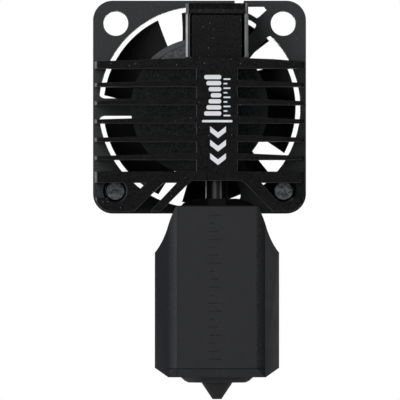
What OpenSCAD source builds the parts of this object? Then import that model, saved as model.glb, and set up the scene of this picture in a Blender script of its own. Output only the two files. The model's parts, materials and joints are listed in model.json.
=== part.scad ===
// Hotend assembly for a filament printer.
// Origin: centre of the nozzle's tip. +Z runs up the filament path, +X to the
// right and +Y from the toolhead side towards the cooling fan. Millimetres.

/* [Heatsink] */
// Front-to-back depth of the heatsink
sink_depth = 10; // [9.4:0.1:10]
// Overall width of the fins
sink_width = 24.94; // [24.5:0.01:25]
// Distance from one fin to the next
fin_pitch = 2.175; // [2.15:0.001:2.18]
// Fin thickness where it leaves the column
fin_root = 0.85; // [0.7:0.01:0.95]
// Fin thickness at its outer end
fin_tip = 0.48; // [0.4:0.01:0.6]
// Width of the central column
column_w = 4.92; // [4.6:0.02:5.4]
// Width of the neck above the fins
neck_w = 7.44; // [7.3:0.02:7.6]

/* [Filament path] */
// Diameter of the filament bore in the heatsink
inlet_d = 2; // [2:0.05:2.2]
// Outside diameter of the thin heatbreak tube
break_d = 2.66; // [2.6:0.02:3]
// Orifice diameter of the nozzle
orifice_d = 0.4; // [0.2:0.1:0.6]

/* [Fan] */
// Side of the square fan frame
fan_size = 25.42; // [25:0.02:25.5]
// Thickness of the fan, front to back
fan_depth = 10; // [10:0.1:11]
// Spacing of the fan's corner holes
fan_pitch = 20; // [19.9:0.05:20.1]
// Diameter of the fan's corner holes
fan_hole_d = 2.98; // [2.8:0.02:3]
// Diameter of the airway through the fan
fan_bore_d = 24.1; // [23.9:0.05:24.1]
// Diameter of the impeller over its blade tips
blade_tip_d = 23.06; // [22:0.02:23.2]
// Number of blades
blade_count = 5; // [5:1:7]

/* [Hot side] */
// Half width of the heater block
block_hw = 4.37; // [4.33:0.01:4.39]
// Half width of the silicone sock
sock_hw = 7.4; // [7.3:0.02:7.5]
// Half depth of the silicone sock
sock_hd = 5.9; // [5.8:0.05:6.2]

/* [Cables] */
// Outside diameter of each heater lead
heater_lead_d = 1.2; // [1:0.1:1.2]
// Outside diameter of each thermistor lead
sensor_lead_d = 0.55; // [0.45:0.05:0.55]
// Outside diameter of each fan lead
fan_lead_d = 0.45; // [0.4:0.01:0.46]

/* [Hidden] */
$fn = 64;
sink_back = 4.9;
sink_front = sink_back - sink_depth;
fan_x = -2.08;
fan_z = 34.8;
fin_low = 28.46;
fin_count = 6;
top_low = fin_low + (fin_count - 1) * fin_pitch;
column_low = 26;
column_top = 40.4;
plate_low = 25.75;
plate_top = 27.1;
foot_low = 22.38;
foot_top = 24;
throat_hw = 2.95;
neck_top = 47.12;
break_top = 34.2;
screw_r = 1.25;
screw_len = 18;
left_x = fan_x - sink_width / 2;
right_x = fan_x + sink_width / 2;
screw_x = [fan_x - fan_pitch / 2, fan_x + fan_pitch / 2];
screw_z = fan_z - fan_pitch / 2;
heater_x = [-2.7, 1];
sensor_x = 3.2;

// ---- helpers ----

// A profile drawn as seen from the toolhead side (x right, y up), made solid
// between two depths.
module front(y0, y1) {
    translate([0, y1, 0]) rotate([90, 0, 0]) linear_extrude(y1 - y0) children();
}

// A profile drawn in (depth, height), made solid across half width hw.
module across(hw) {
    rotate([90, 0, 90]) translate([0, 0, -hw]) linear_extrude(2 * hw) children();
}

// A square with true round corners.
module rounded_square(side, r) {
    square([side - 2 * r, side], center = true);
    square([side, side - 2 * r], center = true);
    for (x = [-1, 1], y = [-1, 1])
        translate([x, y] * (side / 2 - r)) circle(r);
}

// Everything in the fan: local z = 0 is its front plane, -z runs backwards.
module fan_place() {
    translate([fan_x, sink_back, fan_z]) rotate([90, 0, 0]) children();
}

module ring(r_in, r_out, z0, z1) {
    translate([0, 0, z0]) difference() {
        cylinder(r = r_out, h = z1 - z0);
        translate([0, 0, -1]) cylinder(r = r_in, h = z1 - z0 + 2);
    }
}

function unit(v) = v / norm(v);

// A round lead through a list of points, with a true bend at each inner one.
module lead(points, d, bend_r) {
    n = len(points);
    dirs = [for (i = [0 : n - 2]) unit(points[i + 1] - points[i])];
    trims = [for (i = [0 : n - 1]) (i == 0 || i == n - 1) ? 0
        : bend_r * tan(acos(dirs[i - 1] * dirs[i]) / 2)];
    // straight stretches end a little inside the bends, and are a hair thinner
    inset = [for (i = [0 : n - 1]) trims[i] - (trims[i] > 0 ? 0.04 : 0)];
    for (i = [0 : n - 2]) {
        v = dirs[i];
        translate(points[i] + v * inset[i]) rotate([0, acos(v[2]), atan2(v[1], v[0])])
            cylinder(d = d * 0.975, h = norm(points[i + 1] - points[i]) - inset[i] - inset[i + 1], $fn = 24);
    }
    for (i = [1 : 1 : n - 2]) {
        u = dirs[i - 1];
        k = unit(cross(u, dirs[i]));
        m = cross(k, u);
        c = points[i] - u * trims[i] + m * bend_r;
        multmatrix([[-m[0], u[0], k[0], c[0]], [-m[1], u[1], k[1], c[1]],
            [-m[2], u[2], k[2], c[2]], [0, 0, 0, 1]])
            rotate_extrude(angle = acos(u * dirs[i]), $fn = 48)
                translate([bend_r, 0]) circle(d = d, $fn = 24);
    }
}

function mirrored(pts) = [for (i = [len(pts) - 1 : -1 : 0]) [-pts[i][0], pts[i][1]]];

// ---- heatsink ----

// One fin: flat underneath, tapering on top from the column to both ends.
module fin(z) {
    polygon([[left_x, z], [right_x, z], [right_x, z + fin_tip],
        [column_w / 2, z + fin_root], [-column_w / 2, z + fin_root],
        [left_x, z + fin_tip]]);
}

module sink_profile() {
    intersection() {
        union() {
            for (i = [0 : fin_count - 2]) fin(fin_low + i * fin_pitch);
            // the top fin, crowned towards the neck
            polygon([[left_x, top_low], [right_x, top_low],
                [right_x, top_low + 0.83], [6.8, top_low + 1.12],
                [3.6, top_low + 1.24], [-3.6, top_low + 1.24],
                [-8.6, top_low + 1.1], [left_x, top_low + 0.83]]);
            // central column
            translate([-column_w / 2, column_low - 0.2])
                square([column_w, column_top - column_low]);
            // lower plate
            polygon([[left_x, plate_low], [right_x, plate_low],
                [right_x, plate_top], [left_x, plate_top]]);
            polygon([[-5, plate_top - 0.1], [5, plate_top - 0.1],
                [throat_hw + 0.3, column_low - 0.3], [-throat_hw - 0.3, column_low - 0.3]]);
            // legs beside the throat
            polygon([[-4.7, plate_low + 0.1], [-2.9, plate_low + 0.4],
                [-6.7, foot_low], [-7.95, foot_low]]);
            polygon([[2.9, plate_low + 0.4], [5.2, plate_low + 0.1],
                [6.9, foot_top - 0.02], [8.9, foot_low], [6.6, foot_low]]);
            // rib from the plate to the left foot
            polygon([[-8.35, plate_low + 0.1], [-6.26, plate_low + 0.1],
                [-9.85, foot_low], [-11.7, foot_low]]);
            // the left foot is solid up to the plate
            polygon([[-12.6, foot_top - 0.2], [-12.6, plate_low + 0.1], [-10.02, plate_low + 0.1],
                [-9.55, plate_low - 0.35], [-9.1, plate_low - 0.68], [-9.6, foot_top - 0.4]]);
            // feet at the corners
            polygon([[left_x, foot_low], [-9.85, foot_low],
                [-9.85 + foot_top - foot_low, foot_top], [left_x, foot_top]]);
            polygon([[7, foot_low], [right_x, foot_low], [right_x, foot_top],
                [6.85, foot_top]]);
        }
        union() {
            // rounded lower corners, in line with the fan's
            translate([fan_x, fan_z - 0.06])
                rounded_square(sink_width, 2.3);
            translate([left_x, fan_z - 5]) square([sink_width, 20]);
        }
    }
}

// The throat: an opening around the heatbreak, wider towards the heater.
module throat_profile() {
    polygon([[-throat_hw, column_low], [throat_hw, column_low],
        [throat_hw + column_low - foot_low + 1, foot_low - 1],
        [-throat_hw - column_low + foot_low - 1, foot_low - 1]]);
}

module neck() {
    // the block of the neck, behind its front panel and rails
    translate([-neck_w / 2, -3.3, top_low + 0.5]) cube([neck_w, 7, neck_top - 0.05 - top_low - 0.5]);
    // front panel
    translate([-3.04, -4.2, top_low + 0.5]) cube([6.04, 1, 45.72 - top_low - 0.5]);
    // side rails, rounded at their outer front edges
    rail_top = neck_top - 0.05;
    for (r = [[-1, 3.17, rail_top], [1, 3.34, 45.95]]) {
        x = neck_w / 2 - 0.34;
        translate([0, 0, top_low + 0.5]) linear_extrude(r[2] - top_low - 0.5) mirror([r[0] < 0 ? 1 : 0, 0])
            union() {
                translate([r[1], -4.1]) square([x - r[1], 1]);
                translate([x - 0.1, -3.76]) square([0.44, 1]);
                translate([x, -3.76]) circle(0.34);
            }
    }
    // head lip over the panel: a bevel below and a face that leans back above
    translate([0.095, 0, 0]) across(3.505) polygon([[-3.3, 45.95], [-4.25, 45.92],
        [-4.72, 46.42], [-4.45, neck_top], [-3.2, neck_top], [-3.2, 45.95]]);
}

module heatsink() {
    color([0.09, 0.09, 0.095]) difference() {
        union() {
            difference() {
                front(sink_front, sink_back) sink_profile();
                front(sink_front - 1, sink_back + 1) throat_profile();
                // bevels down the outer front edges
                for (x = [left_x, right_x]) translate([x, sink_front, 15])
                    rotate([0, 0, 45]) translate([-0.2, -0.2, 0]) cube([0.4, 0.4, 30]);
            }
            neck();
        }
        // filament inlet and its countersink
        translate([0, 0, 33]) cylinder(d = inlet_d, h = 20);
        translate([0, 0, neck_top - 1]) cylinder(r1 = inlet_d / 2 - 0.01, r2 = 2.06, h = 1.01);
        // seat of the heatbreak
        translate([0, 0, 24]) cylinder(r = 1.77, h = break_top - 24);
        // fan screw holes, open at the front below the lowest fin
        for (x = screw_x) translate([x, sink_back + 1, screw_z])
            rotate([90, 0, 0]) {
                cylinder(r = 1.27, h = 9.5);
                difference() {
                    translate([0, 0, 9.4]) cylinder(r = 1.38, h = 2.6);
                    translate([-2, plate_low - screw_z, 9.3]) cube([4, 2, 4]);
                }
            }
    }
}

// ---- filament path and hot side ----

module heatbreak() {
    color([0.55, 0.56, 0.57]) difference() {
        union() {
            translate([0, 0, 16]) cylinder(d = break_d, h = 10.6);
            translate([0, 0, 26.4]) cylinder(r = 1.75, h = break_top - 26.45);
        }
        translate([0, 0, 10]) cylinder(r = 1, h = 30);
    }
}

// Outline of the heater block as seen from the toolhead side.
block_side = [[block_hw, 3.85], [block_hw, 22.95], [3.95, 23.37], [2.5, 23.88]];

module heater_block() {
    color([0.66, 0.45, 0.3]) difference() {
        intersection() {
            front(-5, 5) polygon(concat(block_side, mirrored(block_side)));
            linear_extrude(30) polygon([[-block_hw + 0.4, -4.25], [block_hw - 0.4, -4.25],
                [block_hw, -3.85], [block_hw, 3.9], [-block_hw, 3.9], [-block_hw, -3.85]]);
        }
        // melt bore, seat of the heatbreak, nozzle thread
        cylinder(r = 1, h = 30);
        translate([0, 0, 16]) cylinder(r = break_d / 2 + 0.01, h = 10);
        translate([0, 0, 23.6]) cylinder(r = break_d / 2 + 0.13, h = 1);
        translate([0, 0, 3]) cylinder(r = 3.02, h = 7.5);
        // seat for the heater plate, running out at the top for its leads
        translate([-4.02, 3.72, 6.5]) cube([6.38, 2, 20]);
        // groove for the thermistor and its leads
        translate([2.36, 3.3, 8.1]) cube([1.68, 3, 20]);
        // pockets for the arms of the clip
        for (s = [-1, 1]) translate([s * 5.02, 2, 12.5]) cube([2, 6.4, 6.8], center = true);
    }
}

module nozzle() {
    color([0.3, 0.3, 0.32]) difference() {
        union() {
            cylinder(r1 = 0.54, r2 = 1.82, h = 1.91);
            translate([0, 0, 1.9]) cylinder(r = 1.82, h = 1);
            translate([0, 0, 2.75]) cylinder(d = 6.35, h = 1.05, $fn = 6);
            translate([0, 0, 3.7]) cylinder(r = 2.55, h = 0.5);
            translate([0, 0, 4]) cylinder(r = 3, h = 6.4);
        }
        translate([0, 0, -1]) cylinder(d = orifice_d, h = 5);
        translate([0, 0, 0.6]) cylinder(r1 = orifice_d / 2 - 0.05, r2 = 1, h = 1.4);
        translate([0, 0, 1.99]) cylinder(r = 1, h = 12);
    }
}

// Half outline of the sock from the toolhead side: bevelled below, drawn in
// along a hollow curve at the shoulders.
sock_side = [[5.79, 2.64], [sock_hw, 3.74], [sock_hw, 17.46], [7.16, 17.76],
    [6.78, 18.34], [6.46, 18.95], [6.2, 19.54], [5.98, 20.13], [5.8, 20.73],
    [5.6, 21.32], [5.37, 21.91], [5.12, 22.46], [4.86, 23.04]];

module sock_body() {
    intersection() {
        front(-10, 10) polygon(concat(sock_side, mirrored(sock_side)));
        linear_extrude(40) polygon([[-4.71, -sock_hd], [4.71, -sock_hd],
            [5.73, -sock_hd + 0.64], [sock_hw, -sock_hd + 4.1],
            [sock_hw, sock_hd - 3.1], [5.73, sock_hd - 0.64], [4.71, sock_hd],
            [-4.71, sock_hd], [-5.73, sock_hd - 0.64], [-sock_hw, sock_hd - 3.1],
            [-sock_hw, -sock_hd + 4.1], [-5.73, -sock_hd + 0.64]]);
        across(12) polygon([[-sock_hd, 3.67], [-sock_hd + 0.64, 2.64],
            [sock_hd - 0.64, 2.64], [sock_hd, 3.67], [sock_hd, 20.1],
            [sock_hd - 0.3, 20.4], [2.2, 20.4], [1.2, 23.04], [-sock_hd, 23.04]]);
    }
}

module silicone_sock() {
    color([0.18, 0.18, 0.19]) difference() {
        union() {
            sock_body();
            // raised lip around the nozzle
            rotate_extrude() polygon([[0, 1.98], [3.4, 1.98], [3.87, 2.2],
                [4.33, 2.62], [4.33, 2.9], [0, 2.9]]);
        }
        // open-topped cavity
        translate([-4.43, -4.35, 3.75]) cube([8.86, 9.45, 30]);
        // pocket for the nozzle's hexagon, and its hole
        translate([0, 0, 2.68]) cylinder(r = 3.35, h = 2);
        cylinder(r = 1.92, h = 5);
    }
}

module ceramic_heater() {
    color([0.9, 0.89, 0.85]) difference() {
        translate([-3.95, 3.74, 6.7]) cube([6.25, 1.06, 12.3]);
        for (x = heater_x) translate([x, 4.27, 17.6]) cylinder(d = 0.72, h = 3);
    }
}

module heater_clip() {
    color([0.7, 0.71, 0.72]) difference() {
        linear_extrude(30) polygon([[-4.35, -1.1], [-4.05, -0.9], [-4.05, 4.82],
            [4.05, 4.82], [4.05, -0.9], [4.35, -1.1], [4.35, 4.95], [4.25, 5.05],
            [-4.25, 5.05], [-4.35, 4.95]]);
        translate([-10, -5, -1]) cube([20, 15, 10.4]);
        translate([-10, -5, 15.6]) cube([20, 15, 20]);
        // window over the heater plate
        translate([-2.6, 4, 11.1]) cube([3.4, 3, 2.8]);
    }
}

module thermistor() {
    color([0.75, 0.6, 0.45]) {
        difference() {
            translate([sensor_x, 4.06, 9]) cylinder(r = 0.74, h = 6);
            for (i = [-1, 1]) translate([sensor_x + i * 0.31, 4.06, 13.5]) cylinder(d = 0.3, h = 3, $fn = 24);
        }
        translate([sensor_x, 4.06, 9.02]) sphere(r = 0.72);
    }
}

module heater_leads() {
    color([0.85, 0.84, 0.8]) for (i = [0, 1]) {
        x = heater_x[i];
        // bare conductor in the plate, then the sleeved lead
        translate([x, 4.27, 17.7]) cylinder(d = 0.6, h = 1.4, $fn = 24);
        lead([[x, 4.33, 19.05], [x, 4.33, 21.25], [x, 15.4, 21.1],
            [-4.2 + i * 3, 19.6, 17.6], [-4.2 + i * 3, 22.2, 14.6],
            [-4.2 + i * 3, 24.7, 14.1]], heater_lead_d, 1.3);
    }
}

module plug(w, h, l, n, pitch) {
    difference() {
        union() {
            translate([-w / 2, 0, -h / 2]) cube([w, l, h]);
            // latch rib on top
            translate([-0.8, l * 0.25, h / 2 - 0.1]) cube([1.6, l * 0.6, 0.5]);
            translate([-0.8, l * 0.7, h / 2 + 0.3]) cube([1.6, l * 0.15, 0.3]);
        }
        for (i = [0 : n - 1]) translate([(i - (n - 1) / 2) * pitch, 0, 0]) {
            translate([-0.3 * pitch, 0.9, -h * 0.26]) cube([0.6 * pitch, l, h * 0.52]);
            rotate([-90, 0, 0]) translate([0, 0, -1]) cylinder(d = 0.56 * pitch, h = 3);
        }
    }
}

module contacts(w, h, l, n, pitch) {
    for (i = [0 : n - 1]) translate([(i - (n - 1) / 2) * pitch, 0, 0]) difference() {
        translate([-0.24 * pitch, 1.9, -h * 0.2]) cube([0.48 * pitch, l - 2.5, h * 0.4]);
        translate([-0.14 * pitch, 2.5, -h * 0.12]) cube([0.28 * pitch, l, h * 0.24]);
    }
}

module heater_plug_at() { translate([-2.7, 24.3, 14.1]) children(); }
module heater_plug() { color([0.9, 0.9, 0.88]) heater_plug_at() plug(6, 3.6, 7, 2, 3); }
module heater_contacts() { color([0.8, 0.75, 0.6]) heater_plug_at() contacts(6, 3.6, 7, 2, 3); }

module thermistor_leads() {
    color([0.12, 0.12, 0.12]) for (i = [0, 1]) {
        x = sensor_x + [-0.31, 0.31][i];
        translate([x, 4.06, 13.6]) cylinder(d = 0.28, h = 1.45, $fn = 24);
        lead([[x, 4.06, 15.02], [x, 4.06, 21.3], [x, 15.6, 21.15],
            [3.3 + i * 1.5, 19.2, 17.2], [3.3 + i * 1.5, 21.6, 14.5],
            [3.3 + i * 1.5, 23.5, 14.1]], sensor_lead_d, 0.9);
    }
}

module thermistor_plug_at() { translate([4.05, 23.2, 14.1]) children(); }
module thermistor_plug() { color([0.9, 0.9, 0.88]) thermistor_plug_at() plug(4, 2.8, 5.5, 2, 1.5); }
module thermistor_contacts() { color([0.8, 0.75, 0.6]) thermistor_plug_at() contacts(4, 2.8, 5.5, 2, 1.5); }

// ---- fan ----

flange_t = 2.2;
strut_t = 1.4;
hub_r = 8.2;
lead_spot = [7.82, 10.35];

module fan_flange() {
    difference() {
        rounded_square(fan_size, 2.35);
        circle(d = fan_bore_d);
        for (x = [-1, 1], y = [-1, 1]) translate([x, y] * fan_pitch / 2) circle(d = fan_hole_d);
        // cable pocket beside the top edge, and its notch
        difference() {
            polygon([[3, 12.06], [7.7, 12.06], [8.04, 11.63], [7.12, 10.78], [6.6, 10.5], [3, 11.5]]);
            circle(r = 12.63);
        }
        translate([4.2, 11.8]) square([1.08, 2]);
    }
}

module fan_frame() {
    color([0.2, 0.2, 0.21]) fan_place() difference() {
        union() {
            translate([0, 0, -flange_t]) linear_extrude(flange_t) fan_flange();
            translate([0, 0, -fan_depth]) linear_extrude(flange_t) fan_flange();
            translate([0, 0, -fan_depth]) linear_extrude(fan_depth) intersection() {
                difference() {
                    circle(r = 12.63);
                    circle(d = fan_bore_d);
                }
                square(fan_size, center = true);
            }
            // corner posts around three of the screw holes
            for (p = [[-1, 1], [-1, -1], [1, -1]]) translate([p[0] * 10, p[1] * 10, 0])
                ring(fan_hole_d / 2, 2.1, -fan_depth + 1, -1);
            // struts and the fixed hub
            translate([0, 0, -strut_t]) linear_extrude(strut_t) union() {
                for (a = [[180, 2.09], [50.4, 1.8], [-58.5, 2.09]]) rotate(a[0])
                    difference() {
                        translate([7, -a[1] / 2]) square([5.3, a[1]]);
                    }
                // fillets where the struts meet the ring
                for (a = [[180, 2.09, 1], [180, 2.09, -1], [50.4, 1.8, 0.6],
                    [50.4, 1.8, -0.5], [-58.5, 2.09, 1]]) rotate(a[0])
                    polygon([[12.2, sign(a[2]) * a[1] / 2], [11.35, sign(a[2]) * a[1] / 2],
                        [11.62, sign(a[2]) * a[1] / 2 + a[2] * 0.08], [11.85, sign(a[2]) * a[1] / 2 + a[2] * 0.24],
                        [11.98, sign(a[2]) * a[1] / 2 + a[2] * 0.55], [12.2, sign(a[2]) * a[1] / 2 + a[2] * 0.6]]);
                // a wider one on the lower side of the last strut
                rotate(-58.5) polygon([[12.25, -1], [10.9, -1], [10.9, -1.045], [11.2, -1.14],
                    [11.45, -1.28], [11.71, -1.45], [11.85, -1.66], [11.95, -1.9], [12.25, -2.1]]);
            }
            translate([0, 0, -strut_t]) cylinder(r = hub_r, h = strut_t);
            translate([0, 0, -7.7]) cylinder(r = 2.6, h = 7);
        }
        // label seat, bearing bore
        translate([0, 0, -0.15]) cylinder(r = 7.52, h = 1);
        translate([0, 0, -8]) cylinder(r = 2.02, h = 10);
        // channel for the leads behind the corner
        translate([7.2, 8.71, 0]) rotate(69.3) translate([-0.3, -0.56, -flange_t - 0.01]) cube([2, 1.12, flange_t - strut_t + 0.01]);
        translate([lead_spot[0], lead_spot[1], -flange_t - 0.01]) cylinder(r = 0.56, h = flange_t - strut_t + 0.01);
        translate([lead_spot[0], lead_spot[1], -fan_depth - 1]) cylinder(r = 0.55, h = flange_t + 1.01);
    }
}

module fan_label() {
    color([0.15, 0.15, 0.16]) fan_place() translate([0, 0, -0.14]) cylinder(r = 7.5, h = 0.07);
}

module fan_screws() {
    color([0.35, 0.36, 0.37]) for (x = screw_x) translate([x, sink_back + fan_depth, screw_z])
        rotate([90, 0, 0]) difference() {
            union() {
                translate([0, 0, -0.5]) cylinder(r = screw_r, h = screw_len + 0.25);
                translate([0, 0, screw_len - 0.25]) cylinder(r1 = screw_r, r2 = 1.08, h = 0.25);
                translate([0, 0, -1.6]) cylinder(r1 = 1.9, r2 = 2.15, h = 0.4);
                translate([0, 0, -1.2]) cylinder(r = 2.15, h = 1.19);
            }
            translate([0, 0, -2]) cylinder(d = 1.73, h = 1.4, $fn = 6);
        }
}

// A blade is a curved plate: it starts near the front at its leading angle and
// runs back as it turns. t runs from hub to tip and u along the blade.
blade_a0 = 115.5;
blade_sweep = 57.2;
blade_slant = 2.3;
function blade_point(t, u, side) =
    let (r = 7.85 + t * (blade_tip_d / 2 - 7.85),
        a = blade_a0 + blade_slant * (1 - t) + u * blade_sweep,
        z = -2.55 - 6.2 * (u + 0.16 * sin(180 * u)) + side * (0.34 - 0.1 * t) * (0.35 + 0.65 * sin(180 * min(1, 0.08 + u * 0.92))))
    [r * cos(a), r * sin(a), z - 0.05];

module blade(nt = 4, nu = 16) {
    top = [for (i = [0 : nt], j = [0 : nu]) blade_point(i / nt, j / nu, 1)];
    low = [for (i = [0 : nt], j = [0 : nu]) blade_point(i / nt, j / nu, -1)];
    n = (nt + 1) * (nu + 1);
    w = nu + 1;
    polyhedron(points = concat(top, low), faces = concat(
        [for (i = [0 : nt - 1], j = [0 : nu - 1]) [i * w + j, i * w + j + 1, (i + 1) * w + j + 1]],
        [for (i = [0 : nt - 1], j = [0 : nu - 1]) [i * w + j, (i + 1) * w + j + 1, (i + 1) * w + j]],
        [for (i = [0 : nt - 1], j = [0 : nu - 1]) [n + i * w + j, n + (i + 1) * w + j + 1, n + i * w + j + 1]],
        [for (i = [0 : nt - 1], j = [0 : nu - 1]) [n + i * w + j, n + (i + 1) * w + j, n + (i + 1) * w + j + 1]],
        [for (j = [0 : nu - 1]) [j, n + j + 1, j + 1]],
        [for (j = [0 : nu - 1]) [j, n + j, n + j + 1]],
        [for (j = [0 : nu - 1]) [nt * w + j, nt * w + j + 1, n + nt * w + j + 1]],
        [for (j = [0 : nu - 1]) [nt * w + j, n + nt * w + j + 1, n + nt * w + j]],
        [for (i = [0 : nt - 1]) [i * w, (i + 1) * w, n + (i + 1) * w]],
        [for (i = [0 : nt - 1]) [i * w, n + (i + 1) * w, n + i * w]],
        [for (i = [0 : nt - 1]) [i * w + nu, n + (i + 1) * w + nu, (i + 1) * w + nu]],
        [for (i = [0 : nt - 1]) [i * w + nu, n + i * w + nu, n + (i + 1) * w + nu]]));
}

module impeller() {
    color([0.08, 0.08, 0.08]) fan_place() difference() {
        union() {
            translate([0, 0, -9.4]) cylinder(r = 8, h = 7);
            for (k = [0 : blade_count - 1]) rotate(k * 360 / blade_count) blade();
        }
        difference() {
            translate([0, 0, -8.6]) cylinder(r = 7.26, h = 8);
            translate([0, 0, -9]) cylinder(r = 1.6, h = 1);
        }
        translate([0, 0, -9.1]) cylinder(r = 0.76, h = 8);
    }
}

module rotor_yoke() { color("silver") fan_place() ring(6.94, 7.24, -8.5, -3); }
module rotor_magnet() { color([0.25, 0.25, 0.26]) fan_place() ring(5.95, 6.92, -8.4, -3.4); }
module rotor_shaft() {
    color("silver") fan_place() difference() {
        translate([0, 0, -9.08]) cylinder(r = 0.75, h = 8.3);
        ring(0.55, 1, -1.42, -1.08);
    }
}
module shaft_clip() {
    color("dimgray") fan_place() difference() {
        ring(0.56, 1.4, -1.4, -1.1);
        translate([0, -0.4, -2]) cube([3, 0.8, 2]);
    }
}
module bearing_sleeve() { color([0.7, 0.5, 0.3]) fan_place() ring(0.78, 2, -7.55, -1.6); }
module thrust_washer() { color("white") fan_place() ring(0.8, 1.5, -7.95, -7.6); }

module pole_profile(arm, shoe) {
    difference() {
        circle(r = 3.4);
        circle(r = 2.62);
    }
    for (k = [0 : 3]) rotate(k * 90) {
        translate([3.1, -arm / 2]) square([2, arm]);
        intersection() {
            difference() {
                circle(r = 5.65);
                circle(r = 5);
            }
            polygon([[0, 0], [8, -8 * tan(shoe)], [8, 8 * tan(shoe)]]);
        }
    }
}

module stator_core() {
    color([0.5, 0.52, 0.55]) fan_place() translate([0, 0, -6.9]) linear_extrude(3) pole_profile(1.4, 34);
}
module stator_insulators() {
    color([0.85, 0.85, 0.8]) fan_place() for (z = [-7.42, -3.88])
        translate([0, 0, z]) linear_extrude(0.5) pole_profile(1.7, 30);
}
module stator_coils() {
    color([0.75, 0.4, 0.2]) fan_place() for (k = [0 : 3]) rotate(k * 90) difference() {
        translate([3.45, -1.75, -7.95]) cube([1.15, 3.5, 5.1]);
        translate([3, -0.9, -7.45]) cube([3, 1.8, 4.1]);
    }
}
module fan_circuit_board() {
    color([0.1, 0.35, 0.2]) fan_place() difference() {
        ring(2.64, 6.5, -2.65, -2.1);
        rotate(50.4) translate([5.6, -0.7, -3]) cube([3, 1.4, 2]);
    }
}
module fan_driver_chip() {
    color([0.05, 0.05, 0.05]) fan_place() rotate(45) translate([3.9, -0.75, -3.3]) cube([1.5, 1.5, 0.64]);
}
module fan_leads() {
    color([0.5, 0.1, 0.1]) fan_place() for (i = [-1, 1]) {
        // from the board, along the back of the strut, then out behind the
        // corner, one lead beside the other
        o = i * 0.26;
        c = cos(50.4);
        t = sin(50.4);
        lead([[4.15 * c - o * t, 4.15 * t + o * c, -1.8],
            [11.3 * c - o * t, 11.3 * t + o * c, -1.8],
            [lead_spot[0] - o * 0.95, lead_spot[1] + o * 0.31, -1.8],
            [lead_spot[0] - o * 0.95, lead_spot[1] + o * 0.31, -11.3 + o],
            [6.85, 10.27, -11.3 + o], [5.6, 11, -11.3 + o],
            [2.07 - o * 2.4, 10.2, -11.4 + o],
            [2.07 - o * 2.4, 10.2, -13.4]], fan_lead_d, 0.35);
    }
}
module fan_plug_at() { translate([0, sink_back + 13, fan_z + 10.2]) children(); }
module fan_plug() { color([0.9, 0.9, 0.88]) fan_plug_at() plug(3.6, 2.6, 5, 2, 1.25); }
module fan_contacts() { color([0.8, 0.75, 0.6]) fan_plug_at() contacts(3.6, 2.6, 5, 2, 1.25); }

heatsink();
heatbreak();
heater_block();
nozzle();
silicone_sock();
ceramic_heater();
heater_clip();
thermistor();
heater_leads();
heater_plug();
heater_contacts();
thermistor_leads();
thermistor_plug();
thermistor_contacts();
fan_frame();
fan_screws();
fan_label();
impeller();
rotor_yoke();
rotor_magnet();
rotor_shaft();
shaft_clip();
bearing_sleeve();
thrust_washer();
stator_core();
stator_insulators();
stator_coils();
fan_circuit_board();
fan_driver_chip();
fan_leads();
fan_plug();
fan_contacts();
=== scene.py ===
import json
import math

import bmesh
import bpy
from mathutils import Matrix, Vector

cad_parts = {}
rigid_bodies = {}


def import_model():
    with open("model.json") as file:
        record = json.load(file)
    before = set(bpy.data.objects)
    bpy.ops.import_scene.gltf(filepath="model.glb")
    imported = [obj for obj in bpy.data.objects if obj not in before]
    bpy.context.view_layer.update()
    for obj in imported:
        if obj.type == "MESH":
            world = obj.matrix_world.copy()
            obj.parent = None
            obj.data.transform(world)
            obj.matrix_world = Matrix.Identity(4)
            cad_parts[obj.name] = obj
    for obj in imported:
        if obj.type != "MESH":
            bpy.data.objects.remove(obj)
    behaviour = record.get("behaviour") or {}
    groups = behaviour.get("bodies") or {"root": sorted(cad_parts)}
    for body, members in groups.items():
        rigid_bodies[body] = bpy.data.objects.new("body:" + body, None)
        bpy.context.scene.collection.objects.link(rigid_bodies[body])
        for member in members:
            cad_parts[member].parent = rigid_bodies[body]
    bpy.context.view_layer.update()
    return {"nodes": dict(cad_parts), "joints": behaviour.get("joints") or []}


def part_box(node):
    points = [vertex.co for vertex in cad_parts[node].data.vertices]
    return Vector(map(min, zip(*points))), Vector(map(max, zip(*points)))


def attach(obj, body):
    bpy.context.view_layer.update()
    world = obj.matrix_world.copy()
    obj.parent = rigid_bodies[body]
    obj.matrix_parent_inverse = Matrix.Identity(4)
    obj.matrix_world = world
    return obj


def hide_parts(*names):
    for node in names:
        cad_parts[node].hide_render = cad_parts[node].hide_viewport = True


for o in list(bpy.data.objects):
    bpy.data.objects.remove(o)

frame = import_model()
N = frame["nodes"]
MM = 0.001


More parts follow.
